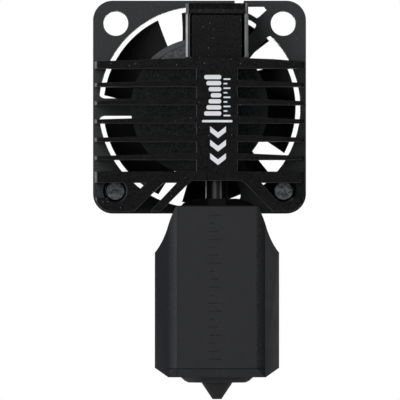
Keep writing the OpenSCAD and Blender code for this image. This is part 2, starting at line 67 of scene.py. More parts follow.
# ---------------------------------------------------------------- node tools
class Tree:
    """A short way to write a material's nodes."""

    def __init__(self, name):
        self.mat = bpy.data.materials.new(name)
        self.mat.use_nodes = True
        self.t = self.mat.node_tree
        self.t.nodes.clear()
        self.out = self.add("ShaderNodeOutputMaterial")
        coord = self.add("ShaderNodeTexCoord")
        mp = self.add("ShaderNodeMapping")
        mp.inputs["Scale"].default_value = (1000, 1000, 1000)
        self.link(coord.outputs["Object"], mp.inputs["Vector"])
        self.co = mp.outputs["Vector"]  # millimetres in the part's own frame

    def add(self, kind, **props):
        n = self.t.nodes.new(kind)
        for k, v in props.items():
            setattr(n, k, v)
        return n

    def link(self, a, b):
        self.t.links.new(a, b)

    def put(self, sock, value):
        if hasattr(value, "is_output"):
            self.link(value, sock)
        else:
            sock.default_value = value

    def xyz(self):
        """The point's own millimetres, as three values."""
        s = self.add("ShaderNodeSeparateXYZ")
        self.link(self.co, s.inputs[0])
        return s.outputs[0], s.outputs[1], s.outputs[2]

    def normal(self):
        """The surface's own direction, as three values."""
        g = self.add("ShaderNodeNewGeometry")
        s = self.add("ShaderNodeSeparateXYZ")
        self.link(g.outputs["Normal"], s.inputs[0])
        return s.outputs[0], s.outputs[1], s.outputs[2]

    def math(self, op, a, b=0.0, c=None, clamp=False):
        n = self.add("ShaderNodeMath", operation=op, use_clamp=clamp)
        self.put(n.inputs[0], a)
        self.put(n.inputs[1], b)
        if c is not None:
            self.put(n.inputs[2], c)
        return n.outputs[0]

    def mix(self, f, a, b):
        n = self.add("ShaderNodeMix", data_type="RGBA")
        self.put(n.inputs["Factor"], f)
        self.put(n.inputs[6], a)
        self.put(n.inputs[7], b)
        return n.outputs[2]

    def noise(self, size, detail=2.0, rough=0.5, vec=None, stretch=None):
        n = self.add("ShaderNodeTexNoise")
        v = vec or self.co
        if stretch:
            m = self.add("ShaderNodeMapping")
            m.inputs["Scale"].default_value = stretch
            self.link(v, m.inputs["Vector"])
            v = m.outputs["Vector"]
        self.link(v, n.inputs["Vector"])
        n.inputs["Scale"].default_value = 1.0 / size
        n.inputs["Detail"].default_value = detail
        n.inputs["Roughness"].default_value = rough
        return n.outputs["Fac"]

    def ramp(self, f, lo, hi, a=0.0, b=1.0):
        n = self.add("ShaderNodeMapRange", clamp=True)
        self.put(n.inputs["Value"], f)
        n.inputs["From Min"].default_value = lo
        n.inputs["From Max"].default_value = hi
        n.inputs["To Min"].default_value = a
        n.inputs["To Max"].default_value = b
        return n.outputs["Result"]

    def tint(self, v, rgb3):
        """A value times a colour."""
        n = self.add("ShaderNodeCombineColor")
        for i, k in enumerate(rgb3):
            self.link(self.math("MULTIPLY", v, k), n.inputs[i])
        return n.outputs[0]

    def specks(self, cell, share, radius):
        """Sparse small dots: a share of the cells holds one."""
        m = self.add("ShaderNodeMapping")
        m.inputs["Scale"].default_value = (1, 0.35, 1)
        self.link(self.co, m.inputs["Vector"])
        n = self.add("ShaderNodeTexVoronoi")
        self.link(m.outputs["Vector"], n.inputs["Vector"])
        n.inputs["Scale"].default_value = 1.0 / cell
        near = self.math("LESS_THAN", n.outputs["Distance"], radius)
        sep = self.add("ShaderNodeSeparateColor")
        self.link(n.outputs["Color"], sep.inputs[0])
        pick = self.math("LESS_THAN", sep.outputs[0], share)
        return self.math("MULTIPLY", near, pick)

    def edges(self, radius, lo=0.03, hi=0.25, samples=6):
        """1 along convex and concave edges, 0 on open faces."""
        b = self.add("ShaderNodeBevel", samples=samples)
        b.inputs["Radius"].default_value = radius * MM
        g = self.add("ShaderNodeNewGeometry")
        d = self.add("ShaderNodeVectorMath", operation="DOT_PRODUCT")
        self.link(b.outputs["Normal"], d.inputs[0])
        self.link(g.outputs["Normal"], d.inputs[1])
        return self.ramp(self.math("SUBTRACT", 1.0, d.outputs["Value"]), lo, hi)

    def round_normal(self, radius, samples=8):
        """The surface direction with its sharp edges rounded off."""
        b = self.add("ShaderNodeBevel", samples=samples)
        b.inputs["Radius"].default_value = radius * MM
        return b.outputs["Normal"]

    def parts(self, vec):
        s = self.add("ShaderNodeSeparateXYZ")
        self.link(vec, s.inputs[0])
        return s.outputs[0], s.outputs[1], s.outputs[2]

    def open_sky(self, dist, lo=0.2, hi=0.75, samples=8):
        """Mask for painted shade: 0 down in narrow grooves, 1 on open faces."""
        n = self.add("ShaderNodeAmbientOcclusion", samples=samples)
        n.inputs["Distance"].default_value = dist * MM
        return self.ramp(n.outputs["AO"], lo, hi)

    def bump(self, height, dist, strength=1.0, under=None):
        n = self.add("ShaderNodeBump")
        n.inputs["Strength"].default_value = strength
        n.inputs["Distance"].default_value = dist * MM
        self.put(n.inputs["Height"], height)
        if under is not None:
            self.link(under, n.inputs["Normal"])
        return n.outputs["Normal"]

    def shade(self, color, rough, metal=0.0, spec=0.5, normal=None, coat=0.0, coat_rough=0.1, sheen=0.0, aniso=0.0, ior=1.5):
        p = self.add("ShaderNodeBsdfPrincipled")
        self.put(p.inputs["Base Color"], color)
        self.put(p.inputs["Roughness"], rough)
        self.put(p.inputs["Metallic"], metal)
        self.put(p.inputs["Specular IOR Level"], spec)
        p.inputs["IOR"].default_value = ior
        p.inputs["Coat Weight"].default_value = coat
        p.inputs["Coat Roughness"].default_value = coat_rough
        p.inputs["Sheen Weight"].default_value = sheen
        p.inputs["Sheen Roughness"].default_value = 0.5
        p.inputs["Anisotropic"].default_value = aniso
        if normal is not None:
            self.link(normal, p.inputs["Normal"])
        self.link(p.outputs[0], self.out.inputs["Surface"])
        return self.mat


def grey(v, warm=0.0):
    return (v * (1 + warm), v, v * (1 - warm), 1.0)


def rgb(r, g, b):
    return (r, g, b, 1.0)


FAN = Vector((-2.07, 4.9, 34.75))
for j in frame["joints"]:
    if j["name"] == "fan_spin":
        FAN = Vector((j["pos_m"][0] / MM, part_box("fan_frame")[0][1] / MM, j["pos_m"][2] / MM))


# ---------------------------------------------------------------- materials
def between(t, v, lo, hi):
    """1 where a value lies between two limits."""
    return t.math("MULTIPLY", t.math("GREATER_THAN", v, lo), t.math("LESS_THAN", v, hi))


def anodised():
    t = Tree("black_anodised")
    x, y, z = t.xyz()
    soft = t.round_normal(0.13)
    nx, ny, nz = t.parts(soft)
    fx, fy, fz = t.normal()
    fine = t.noise(0.21, 4, 0.8)
    cloud = t.noise(2.6, 2, 0.5)
    v = t.math("ADD", t.ramp(fine, 0.34, 0.66, 0.3, 1.7), t.ramp(cloud, 0.3, 0.7, -0.12, 0.12))
    v = t.math("MULTIPLY", v, t.ramp(z, 39.0, 45.0, 1.0, 1.7))
    front = t.math("MULTIPLY", ny, -1.0)
    flat = t.math("LESS_THAN", fy, -0.3)
    cx = t.math("ABSOLUTE", t.math("SUBTRACT", x, 0.0))
    high = t.math("GREATER_THAN", z, 45.8)
    on_cap = t.math("MULTIPLY", t.math("MULTIPLY", high, t.math("LESS_THAN", cx, 3.5)), flat)
    off_cap = t.math("SUBTRACT", 1.0, on_cap)
    # painted light and shade on the cap: its top face painted darker, its lower chamfer painted three times brighter
    v = t.math("MULTIPLY", v, t.math("SUBTRACT", 1.0, t.math("MULTIPLY", on_cap, t.ramp(z, 46.34, 46.46, -2.0, 0.40))))
    # painted shade: darker colour down in grooves and recesses
    unoccluded = t.open_sky(0.6, 0.25, 0.72)
    v = t.math("MULTIPLY", v, t.math("ADD", 0.35, t.math("MULTIPLY", unoccluded, 0.65)))
    # the neck: painted shade in the groove inside each rail, and painted highlights along the rails' rounded outer
    # edges
    neck = t.math("MULTIPLY", t.math("MULTIPLY", t.math("GREATER_THAN", z, 40.75), t.math("LESS_THAN", y, -3.0)), t.math("GREATER_THAN", cx, 2.9))
    below = t.math("SUBTRACT", 1.0, high)
    groove_shade = t.math("MAXIMUM", between(t, x, -3.22, -3.0), between(t, x, 2.93, 3.29))
    groove_shade = t.math("MULTIPLY", t.math("MULTIPLY", groove_shade, neck), below)
    v = t.math("MULTIPLY", v, t.math("SUBTRACT", 1.0, t.math("MULTIPLY", groove_shade, 0.85)))
    col = t.tint(v, (0.0041, 0.0040, 0.0041))
    col = t.mix(t.specks(0.55, 0.45, 0.085), col, grey(0.16))
    # painted highlights on the rails: a bright strip on the left rail's outer edge with a dimmer strip inside it, a
    # lighter strip on the right rail, and a lighter strip beside the cap
    bright = t.math("MULTIPLY", t.math("MULTIPLY", t.math("LESS_THAN", x, -3.49), neck), below)
    middle = t.math("MULTIPLY", t.math("MULTIPLY", between(t, x, -3.49, -3.22), neck), below)
    right = t.math("MULTIPLY", t.math("MULTIPLY", t.math("GREATER_THAN", x, 3.29), neck), below)
    upper = t.math("MULTIPLY", t.math("MULTIPLY", t.math("GREATER_THAN", cx, 3.38), neck), high)
    grain = t.ramp(t.noise(0.9, 3, 0.6), 0.3, 0.7, 0.85, 1.15)
    col = t.mix(bright, col, t.tint(grain, (0.42, 0.42, 0.43)))
    col = t.mix(middle, col, t.tint(grain, (0.044, 0.044, 0.045)))
    col = t.mix(right, col, t.tint(grain, (0.15, 0.15, 0.155)))
    col = t.mix(upper, col, t.tint(grain, (0.13, 0.13, 0.135)))
    rail = t.math("MAXIMUM", t.math("MAXIMUM", bright, middle), t.math("MAXIMUM", right, upper))
    # the left end of each fin: a painted highlight on its small chamfer, where the light from the left catches it
    left_end_highlight = t.math("MULTIPLY", t.math("MULTIPLY", t.math("LESS_THAN", x, -14.32), t.math("LESS_THAN", y, -4.2)), t.math("LESS_THAN", z, 40.5))
    left_end_highlight = t.math("MULTIPLY", left_end_highlight, t.math("LESS_THAN", fz, 0.5))
    left_end_highlight = t.math("MULTIPLY", left_end_highlight, t.math("GREATER_THAN", fz, -0.5))
    col = t.mix(left_end_highlight, col, t.tint(grain, (0.115, 0.115, 0.12)))
    # narrow faces between the front and the sides are cut after blasting, so they shine
    cut = t.math("MULTIPLY", t.ramp(front, 0.15, 0.35), t.ramp(front, 0.985, 0.93))
    cut = t.math("MULTIPLY", cut, t.math("LESS_THAN", y, 0.0))
    cut = t.math("MULTIPLY", cut, t.ramp(nz, 0.05, 0.35, 1.0, 0.05))
    cut = t.math("MULTIPLY", cut, off_cap)
    cut = t.math("MULTIPLY", cut, t.math("LESS_THAN", x, 10.0))
    cut = t.math("MULTIPLY", cut, t.math("LESS_THAN", z, 40.75))
    side = t.ramp(t.math("ABSOLUTE", ny), 0.7, 0.4)
    rough = t.ramp(fine, 0.3, 0.7, 0.40, 0.52)
    spec = t.math("ADD", t.ramp(fine, 0.36, 0.64, 0.015, 0.085), t.math("ADD", t.math("MULTIPLY", cut, 1.2), t.math("MULTIPLY", side, 0.45)))
    # painted shade also dims the reflection in grooves and recesses, and in the grooves inside the rails
    spec = t.math("MULTIPLY", spec, t.math("ADD", 0.1, t.math("MULTIPLY", unoccluded, 0.9)))
    spec = t.math("MULTIPLY", spec, t.math("SUBTRACT", 1.0, t.math("MULTIPLY", groove_shade, 0.9)))
    return t.shade(col, rough, 0.0, spec, t.bump(fine, 0.02, 0.8, soft))


def print_white():
    t = Tree("white_marking")
    f = t.noise(0.07, 2, 0.6)
    col = t.mix(t.ramp(f, 0.35, 0.75), rgb(0.60, 0.61, 0.65), rgb(0.70, 0.71, 0.75))
    return t.shade(col, 0.6, 0.0, 0.3, t.bump(f, 0.004, 0.5))


def tick_silicone():
    t = Tree("tick_silicone")
    f = t.noise(0.12, 3, 0.6)
    v = t.ramp(f, 0.3, 0.7, 0.8, 1.2)
    return t.shade(t.tint(v, (0.0128, 0.0132, 0.0142)), 0.6, 0.0, 0.1, t.bump(f, 0.006, 0.4))


def silicone():
    t = Tree("dark_silicone")
    x, y, z = t.xyz()
    nx, ny, nz = t.normal()
    fine = t.noise(0.16, 4, 0.7)
    cloud = t.noise(1.7, 3, 0.55)
    v = t.math("ADD", t.ramp(fine, 0.34, 0.66, 0.82, 1.18), t.ramp(cloud, 0.3, 0.7, -0.05, 0.05))
    # painted light and shade on the moulding's bevelled corners: the left one painted brighter towards the front edge,
    # the right one painted darker outward
    slant = t.math("MULTIPLY", t.ramp(t.math("ABSOLUTE", nx), 0.25, 0.45), t.ramp(t.math("ABSOLUTE", nx), 0.75, 0.62))
    slant = t.math("MULTIPLY", slant, t.math("LESS_THAN", y, 0.0))
    lft = t.math("MULTIPLY", slant, t.math("LESS_THAN", x, 0.0))
    rgt = t.math("MULTIPLY", slant, t.math("GREATER_THAN", x, 0.0))
    v = t.math("MULTIPLY", v, t.math("ADD", 1.0, t.math("MULTIPLY", lft, t.ramp(x, -5.75, -4.85, -0.1, 1.1))))
    v = t.math("MULTIPLY", v, t.math("ADD", 1.0, t.math("MULTIPLY", rgt, t.ramp(x, 4.75, 5.6, 0.0, -0.6))))
    # thin shadow lines where the lower bevel and the open top begin
    belt = t.math("MULTIPLY", between(t, z, 3.61, 3.74), t.math("LESS_THAN", y, -5.0))
    brim = t.math("GREATER_THAN", z, 22.9)
    fold = t.math("MULTIPLY", between(t, x, -4.80, -4.68), t.math("LESS_THAN", y, -5.0))
    mitre = t.math("MULTIPLY", t.math("LESS_THAN", t.math("ABSOLUTE", t.math("SUBTRACT", t.math("SUBTRACT", t.math("ABSOLUTE", x), 4.75), t.math("SUBTRACT", 3.7, z))), 0.07), t.math("MULTIPLY", t.math("LESS_THAN", z, 3.7), t.math("LESS_THAN", y, -3.0)))
    line = t.math("MAXIMUM", t.math("MAXIMUM", belt, brim), t.math("MAXIMUM", t.math("MULTIPLY", fold, 0.5), t.math("MULTIPLY", mitre, 0.6)))
    v = t.math("MULTIPLY", v, t.math("SUBTRACT", 1.0, t.math("MULTIPLY", line, 0.75)))
    # painted shade on the side faces, the right one darker, and painted light on the down-facing bevel at the front
    v = t.math("MULTIPLY", v, t.math("SUBTRACT", 1.0, t.math("MULTIPLY", t.ramp(nx, -0.75, -0.88), 0.12)))
    v = t.math("MULTIPLY", v, t.math("ADD", 1.0, t.math("MULTIPLY", t.math("MULTIPLY", t.ramp(nz, -0.2, -0.45), t.ramp(y, 1.0, -1.0)), 0.55)))
    v = t.math("MULTIPLY", v, t.math("SUBTRACT", 1.0, t.math("MULTIPLY", t.ramp(nx, 0.75, 0.88), 0.2)))
    rough_grain = t.ramp(t.noise(0.17, 2, 0.6), 0.38, 0.62, -1.0, 1.0)
    much = t.math("ADD", t.math("MULTIPLY", lft, 0.14), t.math("MULTIPLY", rgt, t.ramp(x, 4.9, 5.5, 0.55, 0.1)))
    v = t.math("MULTIPLY", v, t.math("ADD", 1.0, t.math("MULTIPLY", much, rough_grain)))
    col = t.tint(v, (0.0172, 0.0177, 0.0190))
    col = t.mix(t.math("ADD", t.ramp(nx, -0.75, -0.88), t.ramp(nx, 0.75, 0.88)), col, t.tint(v, (0.0156, 0.0158, 0.0202)))
    dust = t.math("MULTIPLY", t.specks(0.9, 0.25, 0.05), 0.4)
    col = t.mix(dust, col, grey(0.05))
    nor = t.bump(fine, 0.012, 0.6, t.bump(cloud, 0.03, 0.3))
    return t.shade(col, t.ramp(cloud, 0.3, 0.7, 0.50, 0.58), 0.0, 0.12, nor)


def hub_painted_light(t, z, x):
    """Painted light on the hub: the disc is painted lighter, more so towards the right, and its upper part, lit from
    above, paler still, most on the left.
    """
    dx = t.math("SUBTRACT", x, FAN.x)
    dz = t.math("SUBTRACT", z, FAN.z)
    r = t.math("SQRT", t.math("ADD", t.math("MULTIPLY", dx, dx), t.math("MULTIPLY", dz, dz)))
    disc = t.math("MULTIPLY", t.ramp(r, 8.25, 8.15), t.math("LESS_THAN", t.xyz()[1], FAN.y + 3.0))
    top = t.math("MULTIPLY", t.ramp(z, FAN.z + 5.3, FAN.z + 6.2), disc)
    v = t.math("ADD", 1.0, t.math("MULTIPLY", disc, t.ramp(x, 1.0, 4.0, 0.55, 1.5)))
    return t.math("ADD", v, t.math("MULTIPLY", top, t.ramp(x, FAN.x - 6.0, FAN.x + 3.0, 2.4, 0.8)))


def fan_plastic():
    t = Tree("fan_frame_plastic")
    x, y, z = t.xyz()
    soft = t.round_normal(0.10)
    fine = t.noise(0.14, 3, 0.7)
    cloud = t.noise(3.0, 2, 0.5)
    v = t.math("ADD", t.ramp(fine, 0.34, 0.66, 0.72, 1.28), t.ramp(cloud, 0.3, 0.7, -0.06, 0.06))
    # painted light on the hub, and painted shade down in grooves and recesses
    v = t.math("MULTIPLY", v, hub_painted_light(t, z, x))
    unoccluded = t.open_sky(0.8, 0.15, 0.6)
    v = t.math("MULTIPLY", v, t.math("ADD", 0.6, t.math("MULTIPLY", unoccluded, 0.4)))
    col = t.tint(v, (0.0185, 0.0203, 0.0213))
    edge = t.math("MULTIPLY", t.edges(0.09, 0.05, 0.35), 0.3)
    col = t.mix(edge, col, grey(0.06))
    col = t.mix(t.specks(0.5, 0.25, 0.075), col, grey(0.16))
    side = t.ramp(t.math("ABSOLUTE", t.parts(soft)[1]), 0.8, 0.5)
    spec = t.math("ADD", t.ramp(fine, 0.36, 0.64, 0.13, 0.27), t.math("MULTIPLY", side, 0.25))
    return t.shade(col, t.ramp(fine, 0.3, 0.7, 0.45, 0.6), 0.0, spec, t.bump(fine, 0.012, 0.5, soft))


def blade_plastic():
    t = Tree("impeller_plastic")
    fine = t.noise(0.16, 2, 0.6)
    x, y, z = t.xyz()
    col = t.mix(t.ramp(fine, 0.3, 0.7), grey(0.0075), grey(0.0135))
    # painted light: the blades are painted lighter on the left and towards the top
    col = t.mix(t.ramp(x, FAN.x - 1.0, FAN.x - 7.0), col, t.mix(t.ramp(fine, 0.3, 0.7), grey(0.014), grey(0.024)))
    col = t.mix(t.ramp(z, FAN.z + 2.0, FAN.z + 7.0), col, t.mix(t.ramp(fine, 0.3, 0.7), grey(0.011), grey(0.019)))
    col = t.mix(t.math("MULTIPLY", t.specks(0.5, 0.4, 0.09), 0.7), col, grey(0.16))
    return t.shade(col, t.ramp(fine, 0.3, 0.7, 0.4, 0.5), 0.0, 0.3, t.bump(fine, 0.008, 0.5))


def steel(name, v, rough, metal=1.0, tint=(1, 1, 1), scratch=0.1, stretch=(1, 1, 0.06), spec=0.5):
    t = Tree(name)
    f = t.noise(scratch, 3, 0.6, stretch=stretch)
    c = t.noise(1.3, 2, 0.5)
    lo = tuple(v * k * 0.85 for k in tint) + (1.0,)
    hi = tuple(min(1, v * k * 1.15) for k in tint) + (1.0,)
    col = t.mix(t.math("ADD", t.math("MULTIPLY", f, 0.6), t.math("MULTIPLY", c, 0.4)), lo, hi)
    return t.shade(col, t.ramp(f, 0.3, 0.7, rough * 0.8, rough * 1.2), metal, spec, t.bump(f, 0.006, 0.5))


def milled_block():
    """Nickel-plated block; its top above the sock is painted dark as shade, with a painted highlight band down the
    middle.
    """
    t = Tree("milled_block")
    x, y, z = t.xyz()
    f = t.noise(0.10, 3, 0.6, stretch=(0.06, 1, 1))
    c = t.noise(1.6, 3, 0.6)
    # painted shade: 0 on the top above the sock, painted dark; 1 on the plain metal below
    unshaded_metal = t.ramp(t.math("ADD", z, t.math("MULTIPLY", c, 0.5)), 23.05, 22.6)
    v = t.math("ADD", t.ramp(f, 0.3, 0.7, 0.85, 1.15), t.ramp(c, 0.3, 0.7, -0.12, 0.12))
    # a painted highlight band down the middle of the dark top
    band = t.ramp(t.math("ABSOLUTE", x), 1.15, 0.95)
    col = t.mix(unshaded_metal, t.mix(band, grey(0.0018), grey(0.0046)), t.tint(v, (0.42, 0.40, 0.37)))
    rough = t.ramp(f, 0.3, 0.7, 0.32, 0.44)
    spec = t.math("ADD", t.math("ADD", 0.006, t.math("MULTIPLY", band, 0.02)), t.math("MULTIPLY", unshaded_metal, 0.45))
    return t.shade(col, rough, t.math("MULTIPLY", unshaded_metal, 0.95), spec, t.bump(f, 0.006, 0.5, t.round_normal(0.08)))


def plastic(name, color, rough=0.45, spec=0.4, grain=0.2, depth=0.012, spread=0.08, edge=0.06):
    t = Tree(name)
    f = t.noise(grain, 3, 0.6)
    lo = tuple(c * (1 - spread) for c in color) + (1.0,)
    hi = tuple(min(1, c * (1 + spread)) for c in color) + (1.0,)
    col = t.mix(t.ramp(f, 0.3, 0.7), lo, hi)
    return t.shade(col, t.ramp(f, 0.3, 0.7, rough * 0.9, rough * 1.1), 0.0, spec, t.bump(f, depth, 0.5, t.round_normal(edge)))


def braid():
    """Woven glass sleeve: two sets of crossing strands."""
    t = Tree("braided_sleeve")
    w = []
    for ang in (0.9, -0.9):
        m = t.add("ShaderNodeMapping")
        m.inputs["Rotation"].default_value = (ang, 0.35 * ang, ang)
        t.link(t.co, m.inputs["Vector"])
        n = t.add("ShaderNodeTexWave", wave_type="BANDS", bands_direction="X")
        n.inputs["Scale"].default_value = 1.15
        n.inputs["Distortion"].default_value = 0.6
        n.inputs["Detail"].default_value = 1.0
        t.link(m.outputs["Vector"], n.inputs["Vector"])
        w.append(n.outputs["Fac"])
    h = t.math("MAXIMUM", w[0], w[1])
    col = t.mix(h, rgb(0.42, 0.39, 0.31), rgb(0.76, 0.73, 0.64))
    return t.shade(col, 0.75, 0.0, 0.3, t.bump(h, 0.05, 0.8), sheen=0.2)


def laminations():
    """Stacked steel sheets, seen on their edges."""
    t = Tree("laminated_steel")
    sep = t.add("ShaderNodeSeparateXYZ")
    t.link(t.co, sep.inputs[0])
    s = t.math("SINE", t.math("MULTIPLY", sep.outputs[1], 2 * math.pi / 0.35))
    col = t.mix(t.ramp(s, -0.9, -0.4), grey(0.08), grey(0.42))
    return t.shade(col, 0.4, 1.0, 0.5, t.bump(s, 0.02, 0.6))


def windings():
    t = Tree("enamelled_copper")
    sep = t.add("ShaderNodeSeparateXYZ")
    t.link(t.co, sep.inputs[0])
    s = t.math("SINE", t.math("MULTIPLY", sep.outputs[1], 2 * math.pi / 0.16))
    col = t.mix(t.ramp(s, -1, 0.6), rgb(0.16, 0.05, 0.015), rgb(0.62, 0.24, 0.08))
    return t.shade(col, 0.3, 0.85, 0.5, t.bump(s, 0.03, 0.8), coat=0.3)


def solder_mask():
    t = Tree("green_board")
    f = t.noise(0.6, 3, 0.6)
    n = t.add("ShaderNodeTexVoronoi", distance="MANHATTAN", feature="DISTANCE_TO_EDGE")
    n.inputs["Scale"].default_value = 1.1
    t.link(t.co, n.inputs["Vector"])
    col = t.mix(t.ramp(n.outputs["Distance"], 0.02, 0.05), rgb(0.02, 0.16, 0.06), rgb(0.012, 0.09, 0.035))
    return t.shade(col, t.ramp(f, 0.3, 0.7, 0.2, 0.3), 0.0, 0.5, t.bump(n.outputs["Distance"], 0.02, 0.4), coat=0.4)


def heater_ceramic():
    t = Tree("fired_ceramic")
    f = t.noise(0.2, 4, 0.6)
    col = t.mix(t.ramp(f, 0.3, 0.7), rgb(0.70, 0.67, 0.60), rgb(0.82, 0.80, 0.74))
    col = t.mix(t.specks(0.8, 0.3, 0.06), col, rgb(0.45, 0.42, 0.36))
    return t.shade(col, 0.7, 0.0, 0.35, t.bump(f, 0.012, 0.6))


def label_paper():
    t = Tree("hub_label")
    x, y, z = t.xyz()
    f = t.noise(0.22, 4, 0.75)
    # painted light on the hub's label, paler on its upper part
    v = t.math("MULTIPLY", t.ramp(f, 0.34, 0.66, 0.5, 1.5), hub_painted_light(t, z, x))
    col = t.tint(v, (0.0190, 0.0206, 0.0216))
    col = t.mix(t.specks(0.42, 0.8, 0.10), col, grey(0.22))
    return t.shade(col, 0.55, 0.0, t.ramp(f, 0.36, 0.64, 0.06, 0.34), t.bump(f, 0.008, 0.4))


def turned_tube():
    """Thin polished tube: painted reflection bands around it, and long streaks along it."""
    t = Tree("polished_tube")
    x, y, z = t.xyz()
    a = t.math("ARCTAN2", x, t.math("MULTIPLY", y, -1.0))
    u = t.math("FRACT", t.math("ADD", t.math("MULTIPLY", a, 1 / math.pi), 1.5))
    # painted reflections: bright and dark bands by the angle round the tube
    r = t.add("ShaderNodeValToRGB")
    t.link(u, r.inputs[0])
    painted_reflection_stops = [(0.0, 0.10), (0.05, 0.12), (0.09, 0.006), (0.33, 0.006), (0.37, 0.018), (0.52, 0.019), (0.55, 0.008), (0.585, 0.010), (0.60, 0.10), (0.625, 0.10), (0.64, 0.006), (0.82, 0.006), (0.86, 0.11), (0.90, 0.03), (1.0, 0.02)]
    cr = r.color_ramp
    while len(cr.elements) < len(painted_reflection_stops):
        cr.elements.new(0.5)
    for e, (p, v) in zip(cr.elements, painted_reflection_stops):
        e.position = p
    for e, (p, v) in zip(cr.elements, painted_reflection_stops):
        e.position = p
        e.color = (v, v * 1.02, v * 1.01, 1)
    f = t.noise(0.12, 3, 0.6, stretch=(1, 1, 0.05))
    col = t.mix(t.ramp(f, 0.3, 0.7, 0.0, 0.25), r.outputs[0], grey(0.02))
    return t.shade(col, t.ramp(f, 0.3, 0.7, 0.25, 0.35), 0.35, 0.10, t.bump(f, 0.004, 0.4))


def screw_steel():
    """Blackened screw with a rough, bright-flecked cut end, the end painted brighter and ringed with painted shade."""
    t = Tree("blackened_screw")
    x, y, z = t.xyz()
    f = t.noise(0.42, 3, 0.7)
    v = t.ramp(f, 0.40, 0.60, 0.35, 1.65)
    dx = t.math("SUBTRACT", t.math("ABSOLUTE", t.math("SUBTRACT", x, FAN.x)), 10.0)
    dz = t.math("SUBTRACT", z, FAN.z - 10.0)
    r = t.math("SQRT", t.math("ADD", t.math("MULTIPLY", dx, dx), t.math("MULTIPLY", dz, dz)))
    tip = t.math("LESS_THAN", y, 0.0)
    v = t.math("ADD", 0.72, t.math("MULTIPLY", t.math("SUBTRACT", v, 0.72), t.math("ADD", 0.3, t.math("MULTIPLY", tip, 0.7))))
    # painted shade: a dark ring round the edge of the cut end
    rim = t.math("MULTIPLY", tip, t.ramp(r, 1.02, 1.08))
    ring_shade_factor = t.math("SUBTRACT", 1.0, t.math("MULTIPLY", rim, 0.92))
    # painted light: the cut end is painted brighter
    v = t.math("MULTIPLY", v, t.math("ADD", 1.0, t.math("MULTIPLY", tip, 0.6)))
    col = t.tint(t.math("MULTIPLY", v, ring_shade_factor), (0.041, 0.0462, 0.0484))
    col = t.mix(t.math("MULTIPLY", t.specks(0.45, 0.35, 0.10), ring_shade_factor), col, grey(0.14))
    return t.shade(col, t.ramp(f, 0.3, 0.7, 0.35, 0.55), 0.0, t.math("MULTIPLY", ring_shade_factor, 0.08), t.bump(f, 0.03, 0.8))


MAT = {
    "heatsink": anodised(),
    "heatbreak": turned_tube(),
    "heater_block": milled_block(),
    "nozzle": steel("hardened_nozzle", 0.033, 0.42, tint=(0.97, 0.98, 1.03), scratch=0.07, stretch=(1, 1, 0.12), metal=0.3, spec=0.2),
    "silicone_sock": silicone(),
    "ceramic_heater": heater_ceramic(),
    "heater_clip": steel("spring_strip", 0.5, 0.3, scratch=0.06, stretch=(0.08, 1, 1)),
    "thermistor": steel("sensor_sleeve", 0.55, 0.35, tint=(1, 0.8, 0.5)),
    "heater_leads": braid(),
    "heater_plug": plastic("plug_nylon", (0.52, 0.50, 0.44), 0.5),
    "heater_contacts": steel("tinned_contact", 0.34, 0.38, tint=(1, 0.86, 0.56)),
    "thermistor_leads": plastic("sensor_lead_cover", (0.012, 0.012, 0.013), 0.4, depth=0.006),
    "thermistor_plug": None,
    "thermistor_contacts": None,
    "fan_frame": fan_plastic(),
    "fan_screws": screw_steel(),
    "fan_label": label_paper(),
    "impeller": blade_plastic(),
    "rotor_yoke": steel("drawn_yoke", 0.45, 0.3),
    "rotor_magnet": plastic("bonded_magnet", (0.03, 0.03, 0.032), 0.6, grain=0.12),
    "rotor_shaft": steel("ground_shaft", 0.6, 0.12),
    "shaft_clip": plastic("clip_nylon", (0.7, 0.69, 0.64), 0.4),
    "bearing_sleeve": steel("sintered_bronze", 0.4, 0.5, tint=(1, 0.68, 0.36), scratch=0.12, stretch=(1, 1, 1)),
    "thrust_washer": plastic("washer_nylon", (0.75, 0.74, 0.7), 0.4),
    "stator_core": laminations(),
    "stator_insulators": plastic("bobbin_nylon", (0.7, 0.68, 0.6), 0.45),
    "stator_coils": windings(),
    "fan_circuit_board": solder_mask(),
    "fan_driver_chip": plastic("chip_resin", (0.012, 0.012, 0.012), 0.5),
    "fan_leads": plastic("fan_lead_cover", (0.16, 0.012, 0.01), 0.38, depth=0.006),
    "fan_plug": None,
    "fan_contacts": None,
}
MAT["thermistor_plug"] = MAT["fan_plug"] = MAT["heater_plug"]
MAT["thermistor_contacts"] = MAT["fan_contacts"] = MAT["heater_contacts"]


def dress(o, mat):
    o.data.materials.clear()
    o.data.materials.append(mat)
    for p in o.data.polygons:
        p.material_index = 0


for name, o in N.items():
    dress(o, MAT[name])


# ---------------------------------------------------------------- edges
def soften(name, width, segments=2, angle=28):
    """Joins the faces of a CAD node and rounds its sharp edges."""
    o = N[name]
    if "custom_normal" in o.data.attributes:
        o.data.attributes.remove(o.data.attributes["custom_normal"])
    for p in o.data.polygons:
        p.use_smooth = True
    m = o.modifiers.new("join", "WELD")
    m.merge_threshold = 2e-6
    m = o.modifiers.new("flats", "DECIMATE")
    m.decimate_type = "DISSOLVE"
    m.angle_limit = math.radians(0.4)
    m = o.modifiers.new("edges", "BEVEL")
    m.width = width * MM
    m.segments = segments
    m.limit_method = "ANGLE"
    m.angle_limit = math.radians(angle)
    m.use_clamp_overlap = True
    m.harden_normals = True
    m.miter_outer = "MITER_ARC"


soften("heatsink", 0.09)
soften("silicone_sock", 0.13, 3)
soften("fan_frame", 0.07)
soften("heater_block", 0.08)
soften("fan_screws", 0.05)


